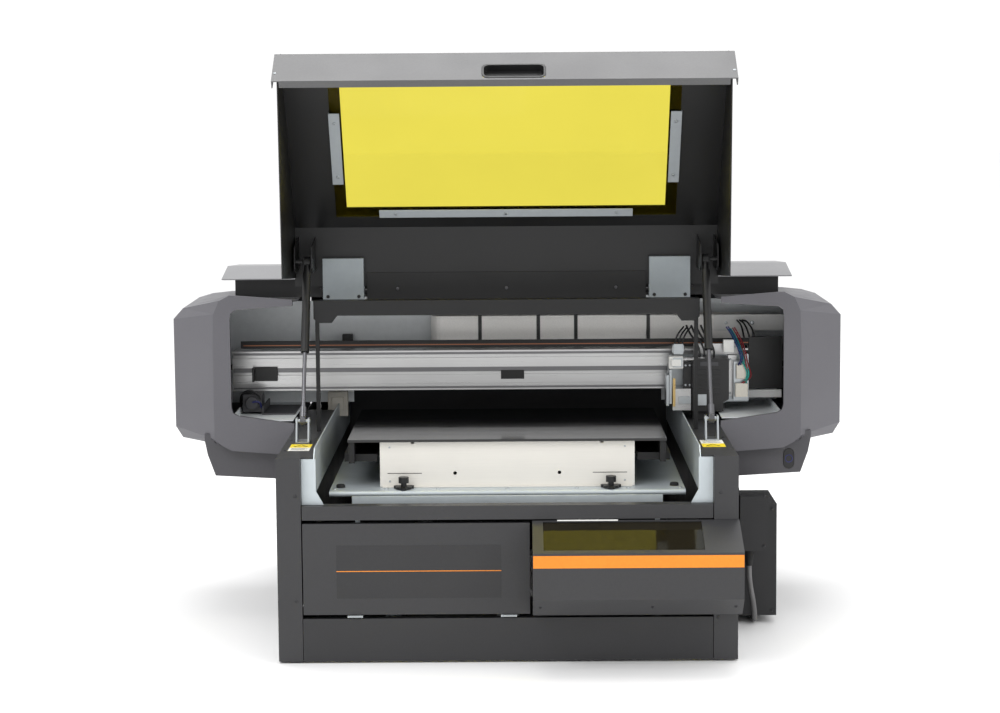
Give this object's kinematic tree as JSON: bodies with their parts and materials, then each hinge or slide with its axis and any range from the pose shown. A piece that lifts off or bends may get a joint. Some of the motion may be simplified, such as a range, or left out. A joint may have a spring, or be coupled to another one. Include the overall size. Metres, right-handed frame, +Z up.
{
  "type": "flatbed uv printer",
  "caption": "Benchtop flatbed UV printer with a sliding print bed, a gantry with print carriage, side wings and a hinged hood on gas struts.",
  "frame": {"origin": "centre of the printer's footprint, on the surface it stands on", "axes": "+X to the right seen from the front, +Y to the back, +Z up"},
  "size_m": [1.25, 1.1368, 1.034],
  "materials": {
    "cabinet_paint": "fine textured satin powder coat",
    "hood_paint": "satin black powder coat",
    "lip_paint": "satin grey powder coat",
    "cover_paint": "light grey satin coat",
    "wing_plastic": "fine grained moulded plastic",
    "galvanised": "zinc coated sheet",
    "aluminium": "extruded and anodised",
    "brushed_panel": "off-white brushed sheet",
    "black_metal": "black coated steel",
    "black_plastic": "moulded black plastic",
    "white_plastic": "white moulded plastic",
    "gloss_table": "polished black table",
    "uv_window": "clear yellow acrylic",
    "smoked_window": "smoked acrylic",
    "rubber": "black rubber",
    "steel": "bare steel",
    "ink_pouch": "soft foil pouch",
    "cord_grey": "grey cable sheath"
  },
  "bodies": {
    "cabinet": {"base_tray": "black_metal", "left_arm_cover": "cabinet_paint", "right_arm_cover": "cabinet_paint", "left_side_wall": "galvanised", "right_side_wall": "galvanised", "front_crossbeam": "cabinet_paint", "kick_panel": "cabinet_paint", "rear_cover": "cabinet_paint", "ink_rack": "black_plastic", "ink_pouches": "ink_pouch", "left_wing_bezel": "wing_plastic", "right_wing_bezel": "wing_plastic", "left_wing_cover": "wing_plastic", "right_wing_cover": "wing_plastic", "left_wing_fascia": "wing_plastic", "right_wing_fascia": "wing_plastic", "gantry_liner": "galvanised", "top_cover": "cover_paint", "gantry_front_wall": "black_metal", "upper_crossbeam": "black_metal", "rail_beam": "aluminium", "cable_chain": "white_plastic", "drive_belt": "rubber", "drive_motor": "black_metal", "capping_station": "rubber", "bed_rail_frame": "galvanised", "left_strut_clevis": "steel", "right_strut_clevis": "steel", "large_electrical_box": "cabinet_paint", "small_electrical_box": "black_metal", "strain_relief": "rubber", "mains_cord": "cord_grey", "cord_coil": "cord_grey", "mains_plug": "black_plastic"},
    "front_door": {"front_door": "cabinet_paint"},
    "ink_cover": {"ink_cover": "cabinet_paint", "ink_window": "smoked_window"},
    "bed_slide": {"bed_carriage": "aluminium"},
    "bed": {"lift_frame": "aluminium", "base_plate": "galvanised", "riser_box": "brushed_panel", "table_top": "gloss_table", "table_frame": "black_metal"},
    "left_knob": {"left_levelling_knob": "black_plastic"},
    "right_knob": {"right_levelling_knob": "black_plastic"},
    "carriage": {"carriage_frame": "steel", "print_head": "black_plastic", "uv_lamp": "steel"},
    "drive_pulley": {"drive_pulley": "steel"},
    "idler_pulley": {"idler_pulley": "steel"},
    "button": {"power_button": "black_plastic"},
    "hood": {"hood_shell": "hood_paint", "hood_front": "lip_paint", "hood_window": "uv_window", "left_hinge_cover": "steel", "right_hinge_cover": "steel"},
    "left_rod": {"left_strut_rod": "steel"},
    "right_rod": {"right_strut_rod": "steel"},
    "left_cylinder": {"left_strut_cylinder": "black_metal"},
    "right_cylinder": {"right_strut_cylinder": "black_metal"}
  },
  "joints": [
    {"name": "hood_hinge", "type": "hinge", "parent": "cabinet", "child": "hood", "pos_m": [0, 0.0085, 0.6], "axis": [1, 0, 0], "range_deg": [0, 81.5]},
    {"name": "front_door_hinge", "type": "hinge", "parent": "cabinet", "child": "front_door", "pos_m": [-0.15525, -0.4015, 0.085], "axis": [1, 0, 0], "range_deg": [0, 88]},
    {"name": "ink_cover_hinge", "type": "hinge", "parent": "cabinet", "child": "ink_cover", "pos_m": [0.217, -0.4037, 0.246], "axis": [-1, 0, 0], "range_deg": [0, 70]},
    {"name": "bed_slide_y", "type": "slide", "parent": "cabinet", "child": "bed_slide", "axis": [0, 1, 0], "range_m": [0, 0.385]},
    {"name": "bed_lift", "type": "slide", "parent": "bed_slide", "child": "bed", "axis": [0, 0, 1], "range_m": [-0.07, 0]},
    {"name": "left_knob_turn", "type": "hinge", "parent": "bed", "child": "left_knob", "pos_m": [-0.18, -0.2975, 0.29], "axis": [0, 0, 1], "continuous": true},
    {"name": "right_knob_turn", "type": "hinge", "parent": "bed", "child": "right_knob", "pos_m": [0.18, -0.2975, 0.29], "axis": [0, 0, 1], "continuous": true},
    {"name": "carriage_slide", "type": "slide", "parent": "cabinet", "child": "carriage", "axis": [1, 0, 0], "range_m": [-0.75, 0]},
    {"name": "drive_pulley_turn", "type": "hinge", "parent": "cabinet", "child": "drive_pulley", "pos_m": [0.548, 0.1835, 0.44], "axis": [0, 0, 1], "continuous": true},
    {"name": "idler_pulley_turn", "type": "hinge", "parent": "cabinet", "child": "idler_pulley", "pos_m": [-0.548, 0.1835, 0.44], "axis": [0, 0, 1], "continuous": true},
    {"name": "power_button_press", "type": "slide", "parent": "cabinet", "child": "button", "axis": [0, 1, 0], "range_m": [0, 0.003], "stiffness_N_per_m": 300},
    {"name": "left_strut_tilt", "type": "hinge", "parent": "cabinet", "child": "left_rod", "pos_m": [-0.361, -0.2125, 0.39], "axis": [1, 0, 0], "range_deg": [-22, 1]},
    {"name": "left_strut_stroke", "type": "slide", "parent": "left_rod", "child": "left_cylinder", "axis": [0, 0.4576, 0.8891], "range_m": [-0.115, 0.001]},
    {"name": "right_strut_tilt", "type": "hinge", "parent": "cabinet", "child": "right_rod", "pos_m": [0.361, -0.2125, 0.39], "axis": [1, 0, 0], "range_deg": [-22, 1]},
    {"name": "right_strut_stroke", "type": "slide", "parent": "right_rod", "child": "right_cylinder", "axis": [0, 0.4576, 0.8891], "range_m": [-0.115, 0.001]}
  ],
  "couplings": [
    {"joint": "left_strut_tilt", "follows": "hood_hinge", "ratio": -0.2392},
    {"joint": "left_strut_stroke", "follows": "hood_hinge", "m_per_rad": -0.07245},
    {"joint": "right_strut_tilt", "follows": "hood_hinge", "ratio": -0.2392},
    {"joint": "right_strut_stroke", "follows": "hood_hinge", "m_per_rad": -0.07245},
    {"joint": "drive_pulley_turn", "follows": "carriage_slide", "rad_per_m": 75.758},
    {"joint": "idler_pulley_turn", "follows": "carriage_slide", "rad_per_m": 75.758}
  ]
}
